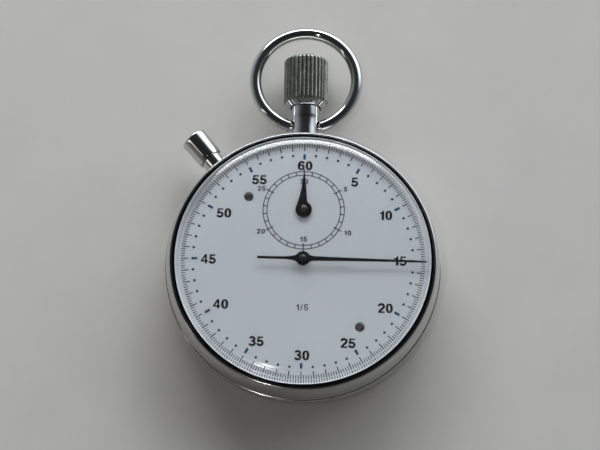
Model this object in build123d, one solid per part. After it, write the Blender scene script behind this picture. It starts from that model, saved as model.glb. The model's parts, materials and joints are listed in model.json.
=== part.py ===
from build123d import *
import math
import os

os.makedirs("parts", exist_ok=True)

# Hand-wound pocket stopwatch lying on its back.
# +Z is the dial normal, +Y points to the crown (60 on the dial), +X to 15 on the dial.
# The origin is on the dial axis, in the plane of the flat back. All sizes in millimetres.

# ---------------------------------------------------------------- driving sizes
CASE_R = 27.5          # widest part of the case
CASE_BORE = 24.4       # inside of the case middle
BACK_SPLIT_Z = 2.2     # where the back meets the middle
SIDE_Z0 = 4.8          # the straight lower band starts
SIDE_Z1 = 7.0          # and ends
CASE_TOP_Z = 12.3
BACK_FLAT_R = 21.0
DIAL_Z = 11.3          # printed face of the dial
DIAL_T = 0.4
DIAL_R = 24.95
CRYSTAL_R = 25.28
CRYSTAL_TOP = 14.8
STEM_Z = 6.3           # height of the crown, stem and reset axes
BOW_R = 10.35          # centre line of the bow
BOW_WIRE_R = 1.25
BOW_CY = 39.65
BOW_PIVOT_Y = 29.65
CROWN_R = 4.5
CROWN_Y0 = 34.7        # knurled length
CROWN_Y1 = 44.1
CROWN_TEETH = 32
CROWN_TRAVEL = 1.2
RESET_DEG = 40.2       # reset button, turned from the crown towards 45 on the dial
RESET_TRAVEL = 0.75
SWEEP_DEG = 90.8       # sweep hand at rest, clockwise from 60
PLATE_Z0, PLATE_Z1 = 7.4, 8.8
PLATE_R = 22.0
RUN = 0.05             # radial running clearance of the arbors

# arbor positions
O = (0.0, 0.0)              # seconds
M = (0.0, 10.2)             # minute register
B = (-9.6, 8.8)             # barrel
S = (-9.6, 0.4)             # second wheel
T = (-5.159, -3.746)        # third wheel
E = (4.045, -3.394)         # escape wheel
P = (6.308, -5.657)         # pallet fork
BAL = (9.136, -8.485)       # balance
I = (1.53, 5.02)            # register intermediate wheel
C = (0.0, 11.6)             # crown wheel
V = (9.0, 17.2)             # start and stop lever
COL = (13.0, 7.5)           # column wheel
W = (10.9, -0.5)            # brake lever
K = (-13.0, 16.5)           # click
PIL_BARREL = [(-18.2, 3.5), (-5.5, 18.6), (5.6, 14.2)]
PIL_TRAIN = [(-15.5, -5.5), (-1.0, -11.5), (6.5, 3.2)]
PIL_PALLET = [(9.5, -2.5), (3.2, -8.6)]
PIL_COCK = (15.8, -13.2)
DIAL_SCREWS = [(-10.94, 12.87), (11.29, -13.48)]

OUT = {}


# ---------------------------------------------------------------- helpers
def cyl(r, z0, z1, at=(0, 0)):
    return Pos(at[0], at[1], (z0 + z1) / 2) * Cylinder(r, z1 - z0)


def ring(r1, r0, z0, z1, at=(0, 0)):
    return cyl(r1, z0, z1, at) - cyl(r0, z0 - 1, z1 + 1, at)


def block(x0, x1, y0, y1, z0, z1):
    return Pos((x0 + x1) / 2, (y0 + y1) / 2, (z0 + z1) / 2) * Box(x1 - x0, y1 - y0, z1 - z0)


def stack(at, *segs):
    s = cyl(*segs[0], at)
    for g in segs[1:]:
        s = s + cyl(*g, at)
    return s


def capsule(p, q, r, z0, z1):
    dx, dy = q[0] - p[0], q[1] - p[1]
    n = math.hypot(dx, dy)
    ux, uy = -dy / n * r, dx / n * r
    pts = [(p[0] + ux, p[1] + uy), (q[0] + ux, q[1] + uy), (q[0] - ux, q[1] - uy), (p[0] - ux, p[1] - uy)]
    return poly(pts, z0, z1) + cyl(r, z0, z1, p) + cyl(r, z0, z1, q)


def poly(pts, z0, z1):
    w = Polyline(*[(x, y, z0) for x, y in pts], close=True)
    s = extrude(make_face(w), amount=z1 - z0, dir=(0, 0, 1))
    return s


def turned(edges):
    """Solid of revolution about Z from edges drawn in the XZ plane as (r, z)."""
    return revolve(make_face(edges), axis=Axis.Z, revolution_arc=360)


def L(*pts):
    return [Line((a[0], 0, a[1]), (b[0], 0, b[1])) for a, b in zip(pts, pts[1:])]


def A(a, m, b):
    return [ThreePointArc((a[0], 0, a[1]), (m[0], 0, m[1]), (b[0], 0, b[1]))]


def SP(*pts, t0=None, t1=None):
    """Smooth curve through points (r, z); t0 and t1 are the end tangents."""
    ps = [(a[0], 0, a[1]) for a in pts]
    return [Spline(*ps, tangents=[(t0[0], 0, t0[1]), (t1[0], 0, t1[1])])]


def lathe(*pts):
    return turned(L(*pts, pts[0]))


def on_y(s, deg=0.0):
    """A solid built along Z, laid along +Y at stem height, then turned about Z."""
    return Rot(0, 0, deg) * (Pos(0, 0, STEM_Z) * (Rot(-90, 0, 0) * s))


def gear_pts(n, m, phase, at, tip=0.85, root=1.15, wt=0.30, wr=0.38):
    rp = n * m / 2
    ra, rf = rp + tip * m, rp - root * m
    pitch = 2 * math.pi / n
    pts = []
    for k in range(n):
        a = math.radians(phase) + k * pitch
        for r, d in ((rf, -wr / 2), (ra, -wt / 2), (ra, wt / 2), (rf, wr / 2)):
            t = a + d * pitch
            pts.append((at[0] + r * math.cos(t), at[1] + r * math.sin(t)))
    return pts


def gear(n, m, phase, at, z0, z1, **kw):
    return poly(gear_pts(n, m, phase, at, **kw), z0, z1)


def direction(p, q):
    return math.degrees(math.atan2(q[1] - p[1], q[0] - p[0]))


def mesh_phase(p, n1, phase1, q, n2):
    """Phase of a gear at q that meshes with the gear at p."""
    a = direction(p, q)
    u = ((a - phase1) / (360 / n1)) % 1
    return a + 180 - (360 / n2) * (0.5 - u)


def spoked(s, at, r_in, r_out, z0, z1, arms=4, w=0.8, turn=0.0):
    """Cut the openings between the arms of a wheel."""
    cut = ring(r_out, r_in, z0 - 0.5, z1 + 0.5, at)
    for k in range(arms):
        bar = Pos(at[0], at[1], (z0 + z1) / 2) * (
            Rot(0, 0, turn + k * 360 / arms) * (Pos(r_out / 2, 0, 0) * Box(r_out + 1, w, z1 - z0 + 3))
        )
        cut = cut - bar
    return s - cut


def spiral_strip(at, r0, r1, turns, t, z0, z1, start=0.0, step=12):
    n = int(turns * 360 / step)
    inner, outer = [], []
    for k in range(n + 1):
        f = k / n
        a = math.radians(start + f * turns * 360)
        r = r0 + (r1 - r0) * f
        inner.append((at[0] + (r - t / 2) * math.cos(a), at[1] + (r - t / 2) * math.sin(a)))
        outer.append((at[0] + (r + t / 2) * math.cos(a), at[1] + (r + t / 2) * math.sin(a)))
    return poly(inner + outer[::-1], z0, z1)


def keep(name, *solids):
    OUT[name] = list(solids)


# ---------------------------------------------------------------- case
def ell(z):
    return BACK_FLAT_R + (CASE_R - BACK_FLAT_R) * math.sqrt(max(0.0, 1 - ((SIDE_Z0 - z) / SIDE_Z0) ** 2))


case = turned(
    SP((ell(BACK_SPLIT_Z), BACK_SPLIT_Z), (ell(3.3), 3.3), (CASE_R, SIDE_Z0), t0=(0.56, 0.83), t1=(0, 1))
    + L((CASE_R, SIDE_Z0), (CASE_R, SIDE_Z1))
    + L((CASE_R, SIDE_Z1), (CASE_R - 0.07, SIDE_Z1 + 0.15), (CASE_R - 0.22, SIDE_Z1 + 0.22))
    + A((CASE_R - 0.22, SIDE_Z1 + 0.22), (26.95, 10.2), (26.22, CASE_TOP_Z))
    + L(
        (26.22, CASE_TOP_Z),
        (26.05, CASE_TOP_Z),
        (26.05, 11.6),
        (25.0, 11.6),
        (25.0, 10.9),
        (CASE_BORE, 10.9),
        (CASE_BORE, BACK_SPLIT_Z),
        (ell(BACK_SPLIT_Z), BACK_SPLIT_Z),
    )
)
case = case - on_y(cyl(3.2, 22.0, 30.0)) - on_y(cyl(2.15, 22.0, 30.0), RESET_DEG)
keep("case_body", case)

back = turned(
    L((0, 0), (BACK_FLAT_R, 0))
    + SP((BACK_FLAT_R, 0), (ell(0.35), 0.35), (ell(1.1), 1.1), (ell(BACK_SPLIT_Z) - 0.02, BACK_SPLIT_Z), t0=(1, 0), t1=(0.56, 0.83))
    + L(
        (ell(BACK_SPLIT_Z) - 0.02, BACK_SPLIT_Z),
        (25.3, BACK_SPLIT_Z),
        (25.3, 1.9),
        (24.5, 1.9),
        (24.5, BACK_SPLIT_Z),
        (24.36, BACK_SPLIT_Z),
        (24.36, 3.0),
        (23.3, 3.0),
        (22.4, 1.0),
        (0, 1.0),
        (0, 0),
    )
)
keep("case_back", back)
keep("case_back_gasket", lathe((24.52, 1.92), (25.28, 1.92), (25.28, 2.18), (24.52, 2.18)))

# bezel: narrow polished ring round the crystal
bezel = turned(
    L((25.32, 11.62), (26.03, 11.62), (26.03, 12.38))
    + A((26.03, 12.38), (25.92, 12.54), (25.74, 12.6))
    + A((25.74, 12.6), (25.48, 12.55), (25.32, 12.36))
    + L((25.32, 12.36), (25.32, 11.62))
)
keep("bezel", bezel)

keep(
    "reflector_ring",
    lathe((24.4, DIAL_Z + 0.01), (24.95, DIAL_Z + 0.01), (24.95, 11.7), (25.22, 11.7), (25.22, 12.36), (24.4, 12.36)),
)

# crystal: bevelled shoulder and a shallow dome
crystal = turned(
    L((24.45, 12.38), (CRYSTAL_R, 12.38), (CRYSTAL_R, 12.62))
    + SP((CRYSTAL_R, 12.62), (25.05, 13.0), (24.4, 13.45), (23.3, 13.85), (22.2, 14.1), (21.0, 14.26), t0=(-0.2, 1), t1=(-1, 0.09))
    + SP((21.0, 14.26), (10.5, CRYSTAL_TOP - 0.135), (0.0, CRYSTAL_TOP), t0=(-1, 0.06), t1=(-1, 0))
    + L((0, CRYSTAL_TOP), (0, 13.5))
    + SP((0, 13.5), (11.35, 13.42), (22.7, 13.18), t0=(1, 0), t1=(1, -0.028))
    + L((22.7, 13.18), (24.45, 12.56), (24.45, 12.38))
)
keep("crystal", crystal)

# ---------------------------------------------------------------- dial
dial = cyl(DIAL_R, DIAL_Z - DIAL_T, DIAL_Z) - cyl(0.55, 10, 12, O) - cyl(0.5, 10, 12, M)
for q in DIAL_SCREWS:
    dial = dial - cyl(1.0, 11.05, 12, q) - cyl(0.5, 10, 12, q)
keep("dial", dial)
scr = []
for k, q in enumerate(DIAL_SCREWS):
    s = cyl(0.93, 11.06, 11.27, q) + cyl(0.42, 9.0, 11.06, q)
    slot = Pos(q[0], q[1], 11.27) * (Rot(0, 0, 25 + 70 * k) * Box(2.4, 0.26, 0.2))
    scr.append(s - slot)
keep("dial_screws", *scr)

# ---------------------------------------------------------------- pendant, crown, stem
tube = turned(
    L((3.18, 24.6), (3.18, 27.3))
    + A((3.18, 27.3), (2.83, 27.75), (2.72, 28.35))
    + L((2.72, 28.35), (2.72, 31.0))
    + L((2.72, 31.0), (2.85, 31.6), (2.85, 39.4), (2.65, 39.6), (2.3, 39.6), (2.3, 28.0), (1.75, 28.0), (1.75, 24.6), (3.18, 24.6))
)
tube = on_y(tube)
pin_hole = Pos(0, BOW_PIVOT_Y, STEM_Z) * (Rot(0, 90, 0) * Cylinder(0.55, 10))
keep("pendant_tube", tube - pin_hole)
pins = []
for sx in (-1, 1):
    pins.append(Pos(sx * 3.4, BOW_PIVOT_Y, STEM_Z) * (Rot(0, 90, 0) * Cylinder(0.55, 2.1)))
keep("bow_pivot_pins", *pins)

crown = turned(
    L((3.05, 33.6), (3.3, 33.6), (4.18, 34.9), (4.18, 43.9))
    + A((4.18, 43.9), (4.08, 44.18), (3.8, 44.28))
    + SP((3.8, 44.28), (1.9, 44.43), (0, 44.48), t0=(-1, 0.09), t1=(-1, 0))
    + L((0, 44.48), (0, 41.3), (3.05, 41.3), (3.05, 33.6))
)
kn = []
for k in range(CROWN_TEETH):
    a = k * 2 * math.pi / CROWN_TEETH
    for r, d in ((4.22, -0.5), (4.5, -0.16), (4.5, 0.16)):
        t = a + d * 2 * math.pi / CROWN_TEETH
        kn.append((r * math.cos(t), r * math.sin(t)))
knurl = poly(kn, CROWN_Y0, CROWN_Y1) - cyl(4.1, 30, 50)
knurl = knurl & turned(L((4.05, 34.7), (4.1, 34.7), (4.52, 35.35), (4.52, 43.6), (4.05, 44.1), (4.05, 34.7)))
crown = crown + knurl
keep("crown", on_y(crown))

stem = on_y(cyl(2.0, 39.05, 41.3) + cyl(0.9, 18.2, 39.05) + cyl(0.5, 10.6, 13.8))
stem = stem + (Pos(0, 16.0, STEM_Z) * Box(1.1, 4.4, 1.1))
keep("winding_stem", stem)
keep("stem_sleeve", on_y(ring(1.7, 0.95, 19.5, 38.2) + ring(2.2, 0.95, 38.2, 39.0)))


def coil(mean_r, wire_r, y0, y1, turns, deg=0.0):
    h = Helix(pitch=(y1 - y0 - 2 * wire_r - 0.06) / turns, height=y1 - y0 - 2 * wire_r - 0.06, radius=mean_r)
    prof = Plane(origin=h @ 0, z_dir=h % 0) * Circle(wire_r)
    s = sweep(prof, path=h)
    return on_y(Pos(0, 0, y0 + wire_r + 0.03) * s, deg)


keep("crown_return_spring", coil(2.0, 0.16, 28.0, 38.2, 7))

# bow: round wire ring, open where its ends meet the pendant sides
bow = Torus(BOW_R, BOW_WIRE_R)
bow = Pos(0, BOW_CY, STEM_Z) * bow
bow = bow - block(-2.95, 2.95, BOW_PIVOT_Y - 4, BOW_PIVOT_Y + 4, STEM_Z - 3, STEM_Z + 3)
bow = bow - (Pos(0, BOW_PIVOT_Y, STEM_Z) * (Rot(0, 90, 0) * Cylinder(0.6, 9.2)))
keep("bow", *bow.solids())

# ---------------------------------------------------------------- reset button
rtube = lathe((0.78, 24.6), (2.14, 24.6), (2.14, 32.6), (1.6, 32.6), (1.6, 26.6), (0.78, 26.6))
keep("reset_tube", on_y(rtube, RESET_DEG))
cap = turned(
    L((2.24, 29.4), (2.45, 29.4), (2.58, 29.55), (2.75, 34.8))
    + A((2.75, 34.8), (2.63, 35.1), (2.35, 35.2))
    + SP((2.35, 35.2), (1.15, 35.32), (0, 35.36), t0=(-1, 0.14), t1=(-1, 0))
    + L((0, 35.36), (0, 33.6), (2.24, 33.6), (2.24, 29.4))
)
keep("reset_button", on_y(cap, RESET_DEG))
keep("reset_stem", on_y(cyl(0.7, 21.25, 33.6), RESET_DEG))
keep("reset_return_spring", coil(1.2, 0.14, 26.6, 33.6, 7, RESET_DEG))

# ---------------------------------------------------------------- movement frame
mring = lathe(
    (22.05, 6.4), (24.35, 6.4), (24.35, 9.4), (22.65, 9.4), (22.65, 8.15), (22.05, 8.15)
)
mring = mring - block(-2.1, 2.1, 15, 26, 3, 8.1) - on_y(cyl(1.1, 20, 26), RESET_DEG)
clamps = []
for a in (20, 145, 262):
    q = (23.35 * math.cos(math.radians(a)), 23.35 * math.sin(math.radians(a)))
    mring = mring - cyl(0.4, 6, 8.4, q)
    s = cyl(0.9, 5.9, 6.4, q) + cyl(0.4, 6.4, 8.3, q)
    clamps.append(s - (Pos(q[0], q[1], 5.9) * Box(2.4, 0.25, 0.3)))
keep("movement_ring", mring)
keep("case_clamp_screws", *clamps)

plate = cyl(PLATE_R, PLATE_Z0, PLATE_Z1) + cyl(22.6, 8.2, PLATE_Z1)
plate = plate - block(-2.6, 2.6, 13.0, 23.5, 5, 8.25) - block(-2.6, 2.6, 13.0, 21.0, 5, 9)
plate = plate - (Rot(0, 0, RESET_DEG) * block(-1.1, 1.1, 19.2, 22.05, 7, 9))
plate = plate + block(-1.6, 1.6, 11.0, 12.4, 5.2, 7.5)
plate = plate - on_y(cyl(0.55, 10.5, 13.0))
for q in DIAL_SCREWS:
    plate = plate + cyl(1.3, 8.7, 10.89, q)
    plate = plate - cyl(0.45, 8.5, 11, q)
plate = plate + stack(V, (0.5, 6.3, 7.5)) + stack(COL, (0.5, 4.9, 7.5)) + stack(W, (0.5, 3.5, 7.5))
plate = plate + stack(I, (0.3, 8.7, 9.85))
for y in (15.0, 18.6):
    plate = plate + (Rot(0, 0, RESET_DEG) * cyl(0.35, 8.7, 10.5, (2.4, y)))
plate = plate - cyl(0.5, 7, 9, O) - cyl(0.35, 7.6, 9, M) - cyl(0.55, 7.3, 8.3, B)
for q in (S, T, E, P, BAL):
    plate = plate - cyl(0.25, 7.3, 8.3, q)
keep("main_plate", plate)

bb = capsule(PIL_BARREL[0], B, 2.2, 2.4, 3.6)
bb = bb + capsule(B, C, 3.0, 2.4, 3.6) + capsule(C, PIL_BARREL[2], 1.6, 2.4, 3.6)
bb = bb + capsule(C, PIL_BARREL[1], 2.0, 2.4, 3.6) + capsule(B, K, 1.6, 2.4, 3.6) + capsule(B, (-16.8, 11.0), 1.4, 2.4, 3.6)
bb = bb + cyl(0.8, 3.5, 4.24, C) + cyl(0.5, 3.5, 4.3, K)
for q in PIL_BARREL:
    bb = bb + cyl(1.1, 3.5, 7.4, q)
bb = bb - cyl(0.55, 2, 4, B) - cyl(0.4, 2.8, 5, C)
tb = capsule(PIL_TRAIN[0], S, 1.5, 2.4, 3.6) + capsule(S, T, 1.6, 2.4, 3.6) + capsule(T, O, 1.6, 2.4, 3.6)
tb = tb + capsule(T, PIL_TRAIN[1], 1.5, 2.4, 3.6) + capsule(O, PIL_TRAIN[2], 1.5, 2.4, 3.6) + capsule(O, E, 1.5, 2.4, 3.6)
for q in PIL_TRAIN:
    tb = tb + cyl(1.1, 3.5, 7.4, q)
tb = tb - cyl(0.3, 2, 4, O)
for q in (S, T, E):
    tb = tb - cyl(0.25, 2, 4, q)
pb = capsule(PIL_PALLET[0], P, 1.0, 4.9, 5.5) + capsule(P, PIL_PALLET[1], 1.0, 4.9, 5.5)
for q in PIL_PALLET:
    pb = pb + cyl(0.9, 5.4, 7.4, q)
pb = pb - cyl(0.25, 4, 6, P)
cock = capsule(BAL, PIL_COCK, 1.5, 1.9, 2.9) + cyl(1.3, 2.8, 7.4, PIL_COCK) - cyl(0.25, 1, 4, BAL)
cock = cock + cyl(0.3, 2.8, 3.5, (BAL[0] + 3.9, BAL[1] - 2.6))
bs = []
for q, zh in [(q, 2.4) for q in PIL_BARREL + PIL_TRAIN] + [(q, 4.9) for q in PIL_PALLET] + [(PIL_COCK, 1.9)]:
    r = 0.35
    hole = cyl(r, zh - 1, 8.2, q)
    bb, tb, pb, cock = [x - hole for x in (bb, tb, pb, cock)]
    plate = plate - cyl(r, 7.3, 8.2, q)
    s = cyl(0.75, zh - 0.45, zh, q) + cyl(r, zh, 8.1, q)
    bs.append(s - (Pos(q[0], q[1], zh - 0.45) * Box(2, 0.22, 0.3)))
keep("main_plate", plate)
keep("barrel_bridge", bb)
keep("train_bridge", tb)
keep("pallet_bridge", pb)
keep("balance_cock", cock)
keep("bridge_screws", *bs)

# ---------------------------------------------------------------- barrel and winding work
ph_second_pinion = 8.0
ph_barrel = mesh_phase(S, 12, ph_second_pinion, B, 72)
drum = gear(72, 0.2, ph_barrel, B, 4.75, 5.15) + cyl(6.9, 4.75, 6.45, B)
drum = drum - cyl(6.4, 4.95, 7, B) - cyl(1.05, 4, 7, B)
keep("barrel_drum", drum)
keep("barrel_cover", ring(6.38, 1.05, 6.2, 6.43, B))
keep(
    "barrel_arbor",
    stack(B, (0.5, 2.6, 3.66), (0.7, 3.65, 4.25), (1.0, 4.24, 5.06), (1.5, 5.05, 6.12), (1.0, 6.1, 7.3), (0.5, 7.2, 8.2)),
)
keep("mainspring", spiral_strip(B, 1.75, 6.25, 8.5, 0.14, 5.05, 6.1))
ph_crown = 4.0
cw = gear(32, 0.25, ph_crown, C, 3.7, 4.2)
for k in range(32):
    cw = cw + (Pos(C[0], C[1], 4.35) * (Rot(0, 0, 90 + k * 360 / 32) * (Pos(3.55, 0, 0) * Box(0.5, 0.22, 0.36))))
cw = cw - cyl(0.85, 3, 5, C)
keep("crown_wheel", cw)
bs.append(cyl(1.3, 4.25, 4.5, C) + cyl(0.4, 2.9, 4.25, C))
keep("bridge_screws", *bs)
ratchet = gear(48, 0.25, mesh_phase(C, 32, ph_crown, B, 48), B, 3.7, 4.2) - cyl(0.7, 3, 5, B)
keep("ratchet_wheel", ratchet)
wp = poly(gear_pts(17, 1.9 * 2 / 17, 90 + 360 / 34, (0, 0), tip=0.66, root=1.3, wt=0.26, wr=0.34), 14.9, 15.4) + cyl(1.2, 14.2, 16.6)
wp = on_y(wp) - (Pos(0, 15.4, STEM_Z) * Box(1.2, 4, 1.2))
keep("winding_pinion", wp)
click = cyl(1.05, 3.7, 4.2, K)
tip = (B[0] + 6.62 * math.cos(math.radians(75)), B[1] + 6.62 * math.sin(math.radians(75)))
click = click + capsule(K, (tip[0] - 0.2, tip[1] + 0.05), 0.35, 3.7, 4.2) - cyl(0.55, 3, 5, K)
keep("click", click)
cs = capsule((-16.8, 11.0), (-16.3, 13.8), 0.16, 3.7, 4.1) + capsule((-16.3, 13.8), (-14.9, 15.4), 0.16, 3.7, 4.1) + cyl(0.6, 3.6, 4.1, (-16.8, 11.0))
keep("click_spring", cs)

# ---------------------------------------------------------------- going train
ph_third_pinion = 12.0
ph_second_wheel = mesh_phase(T, 9, ph_third_pinion, S, 72)
keep("second_pinion", gear(12, 0.2, ph_second_pinion, S, 4.6, 5.3) + stack(S, (0.2, 2.7, 8.1), (0.42, 5.2, 7.3)))
sw = spoked(gear(72, 0.15, ph_second_wheel, S, 6.7, 6.95), S, 1.4, 4.7, 6.7, 6.95) - cyl(0.42, 6, 8, S)
keep("second_wheel", sw)
ph_third_wheel = 3.0
keep("third_pinion", gear(9, 0.15, ph_third_pinion, T, 6.55, 7.1, tip=0.75) + stack(T, (0.2, 2.7, 8.1), (0.3, 3.65, 7.3)))
keep("third_wheel", spoked(gear(75, 0.15, ph_third_wheel, T, 3.9, 4.15), T, 1.2, 4.9, 3.9, 4.15) - cyl(0.3, 3, 5, T))
ph_o_low = mesh_phase(T, 75, ph_third_wheel, O, 10)
ph_seconds_wheel = 1.0
keep("seconds_wheel", spoked(gear(80, 0.12, ph_seconds_wheel, O, 5.0, 5.25), O, 1.1, 4.2, 5.0, 5.25) - cyl(0.45, 4, 6, O))
ph_reg_pinion = 5.0
arbor = stack(O, (0.25, 2.7, 3.7), (0.45, 3.65, 9.0), (0.4, 9.2, 12.0), (0.3, 11.9, 12.7))
arbor = arbor + gear(10, 0.15, ph_o_low, O, 3.75, 4.35, tip=0.75) + gear(10, 0.15, ph_reg_pinion, O, 8.95, 9.3, tip=0.75)
keep("seconds_arbor", arbor)
ph_escape_pinion = mesh_phase(O, 80, ph_seconds_wheel, E, 8)
keep(
    "escape_pinion",
    gear(8, 0.12, ph_escape_pinion, E, 4.85, 5.4, tip=0.75, wt=0.26, wr=0.34) + stack(E, (0.2, 2.7, 8.1), (0.28, 4.6, 7.3)),
)
ew = []
for k in range(15):
    a = k * 24.0
    for r, d in ((1.95, 0.0), (2.5, 8.0), (2.5, 9.5), (1.95, 11.0)):
        t = math.radians(a + d)
        ew.append((E[0] + r * math.cos(t), E[1] + r * math.sin(t)))
keep("escape_wheel", spoked(poly(ew, 5.9, 6.15), E, 0.7, 1.6, 5.9, 6.15, w=0.4) - cyl(0.28, 5, 7, E))

ue = ((E[0] - P[0]) / 3.2, (E[1] - P[1]) / 3.2)
ul = (-ue[1], ue[0])


def pal(e, l):
    return (P[0] + e * ue[0] + l * ul[0], P[1] + e * ue[1] + l * ul[1])


fork = capsule(pal(0, 0), pal(-2.35, 0), 0.16, 5.8, 6.1) + cyl(0.5, 5.8, 6.1, P)
fork = fork + capsule(pal(-2.35, 0), pal(-2.6, 0.32), 0.12, 5.8, 6.1) + capsule(pal(-2.35, 0), pal(-2.6, -0.32), 0.12, 5.8, 6.1)
for sl in (-1, 1):
    fork = fork + capsule(pal(0, 0), pal(0.2, sl * 1.95), 0.2, 5.8, 6.1) + capsule(pal(0.2, sl * 1.95), pal(0.8, sl * 2.05), 0.15, 5.8, 6.1)
fork = fork + stack(P, (0.2, 5.0, 8.1), (0.28, 5.6, 7.3))
keep("pallet_fork", fork)

bw = ring(5.6, 5.0, 3.7, 4.3, BAL) + (Pos(BAL[0], BAL[1], 4.0) * (Rot(0, 0, 20) * Box(10.2, 0.7, 0.3))) + cyl(0.9, 3.8, 4.2, BAL)
for k in range(12):
    a = math.radians(20 + 15 + k * 30)
    q = (BAL[0] + 5.62 * math.cos(a), BAL[1] + 5.62 * math.sin(a))
    bw = bw + cyl(0.18, 3.85, 4.15, q)
keep("balance_wheel", bw - cyl(0.35, 3, 5, BAL))
keep("balance_staff", stack(BAL, (0.2, 2.0, 8.1), (0.35, 3.0, 7.3), (0.95, 5.55, 5.75)))
keep("hairspring", spiral_strip(BAL, 0.6, 3.9, 8, 0.08, 3.15, 3.35))

# ---------------------------------------------------------------- register and hands
ph_reg_wheel = mesh_phase(O, 10, ph_reg_pinion, I, 60)
ph_int_pinion = 7.0
rw = spoked(gear(60, 0.15, ph_reg_wheel, I, 9.0, 9.2), I, 1.3, 3.8, 9.0, 9.2) + gear(12, 0.15, ph_int_pinion, I, 9.15, 9.75)
keep("register_wheel", rw - cyl(0.35, 8, 10, I))
ph_min = mesh_phase(I, 12, ph_int_pinion, M, 60)
keep("minute_wheel", spoked(gear(60, 0.15, ph_min, M, 9.4, 9.6), M, 1.2, 3.8, 9.4, 9.6) - cyl(0.4, 9, 10, M))


def heart(at, r0, r1, z0, z1, turn, hole):
    pts = []
    for k in range(72):
        a = k * 5.0
        d = abs(((a - turn + 180) % 360) - 180) / 180
        r = r0 + (r1 - r0) * (1 - d) if d > 0.04 else r0 + (r1 - r0) * 0.96
        pts.append((at[0] + r * math.cos(math.radians(a)), at[1] + r * math.sin(math.radians(a))))
    return poly(pts, z0, z1) - cyl(hole, z0 - 1, z1 + 1, at)


keep("seconds_heart_cam", heart(O, 0.6, 1.5, 9.85, 10.35, 90 + RESET_DEG, 0.4))
m_arbor = stack(M, (0.3, 7.7, 8.95), (0.4, 8.9, 11.7), (0.3, 11.6, 12.05))
keep("minute_arbor", m_arbor + heart(M, 0.6, 1.5, 9.85, 10.35, 90 + RESET_DEG, 0.3))

a_s = math.radians(90 - SWEEP_DEG)


def hand_pts(pts, at, ang):
    """pts as (along, across), turned so that along points at angle ang."""
    c, s = math.cos(ang), math.sin(ang)
    return [(at[0] + u * c - v * s, at[1] + u * s + v * c) for u, v in pts]


sweep_pts = [(-9.0, -0.25), (-4.0, -0.26), (-2.2, -0.4), (-1.1, -0.75), (1.1, -0.8), (2.2, -0.46), (10.0, -0.33), (24.25, -0.16)]
sweep_pts = sweep_pts + [(u, -v) for u, v in sweep_pts[::-1]]
sh = poly(hand_pts(sweep_pts, O, a_s), 12.26, 12.4) + cyl(1.45, 12.24, 12.42, O) + cyl(1.0, 12.0, 12.6, O)
keep("sweep_hand", sh - cyl(0.3, 11, 13, O))
keep("sweep_hand_cap", turned(L((0.31, 12.61), (0.7, 12.61), (0.7, 12.72)) + SP((0.7, 12.72), (0.45, 12.83), (0, 12.88), t0=(-0.7, 0.7), t1=(-1, 0)) + L((0, 12.88), (0, 12.71), (0.31, 12.71), (0.31, 12.61))))
# minute hand: round hub running into an offset tapering blade
mh_pts = [(0.0, 1.63), (0.7, 1.5), (3.0, 0.75), (5.2, 0.32), (7.6, 0.1), (7.6, -0.1), (5.0, -0.42), (3.0, -0.6), (1.5, -0.62), (0.6, -1.3), (0.0, -1.63), (-1.0, -1.2), (-1.0, 1.2)]
mh = poly(hand_pts(mh_pts, M, math.radians(90)), 11.76, 11.9) + cyl(1.63, 11.76, 11.92, M) + cyl(1.0, 11.62, 11.98, M)
mh = mh - cyl(0.4, 11, 11.71, M) - cyl(0.3, 11, 13, M)
keep("minute_hand", mh)
keep("minute_hand_cap", Pos(M[0], M[1], 0) * turned(L((0, 12.06), (0, 12.16)) + SP((0, 12.16), (0.45, 12.13), (0.76, 12.04), t0=(1, 0), t1=(0.7, -0.5)) + L((0.76, 12.04), (0.76, 11.98), (0.32, 11.98), (0.32, 12.06), (0, 12.06))))

# ---------------------------------------------------------------- control levers
# reset hammer, drawn in the button's own frame where +Y points out along the button
hz0, hz1 = 9.9, 10.25
hm = block(-0.7, 0.7, 3.4, 11.5, hz0, hz1) + block(-1.4, 1.4, 2.4, 3.5, hz0, hz1)
hm = hm + block(-0.7, 8.0, 11.4, 12.7, hz0, hz1) + block(5.2, 8.0, 10.19, 11.5, hz0, hz1)
hm = hm + block(1.55, 3.3, 12.6, 21.2, hz0, hz1) + block(-0.8, 3.3, 20.4, 21.2, hz0, hz1) + block(-0.8, 0.8, 20.75, 21.2, 5.7, hz1)
for y in (15.0, 18.6):
    hm = hm - capsule((2.4, y), (2.4, y + RESET_TRAVEL), 0.42, 9, 11)
keep("reset_hammer", Rot(0, 0, RESET_DEG) * hm)

lever = cyl(1.1, 6.6, 7.1, V) + capsule(V, (2.2, 18.95), 0.45, 6.6, 7.1) + capsule((2.2, 18.95), (1.55, 19.0), 0.35, 6.6, 7.1)
lever = lever + capsule(V, (13.3, 11.1), 0.4, 6.6, 7.1) - cyl(0.55, 6, 8, V)
keep("start_stop_lever", lever)

cwh = []
for k in range(12):
    a = k * 30.0
    for r, d in ((2.15, 0.0), (2.55, 3.0)):
        t = math.radians(a + d)
        cwh.append((COL[0] + r * math.cos(t), COL[1] + r * math.sin(t)))
col = poly(cwh, 6.6, 7.2)
for k in range(6):
    a = math.radians(k * 60.0)
    q = (COL[0] + 1.75 * math.cos(a), COL[1] + 1.75 * math.sin(a))
    col = col + cyl(0.45, 5.2, 6.7, q)
col = col + cyl(1.0, 5.6, 6.7, COL) - cyl(0.55, 4, 8, COL)
keep("column_wheel", col)

bl = cyl(1.0, 3.7, 5.9, W) + capsule(W, (14.0, -4.4), 0.4, 3.7, 4.2) + capsule(W, (12.2, 4.5), 0.4, 5.4, 5.9) - cyl(0.55, 3, 8, W)
keep("brake_lever", bl)

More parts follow.
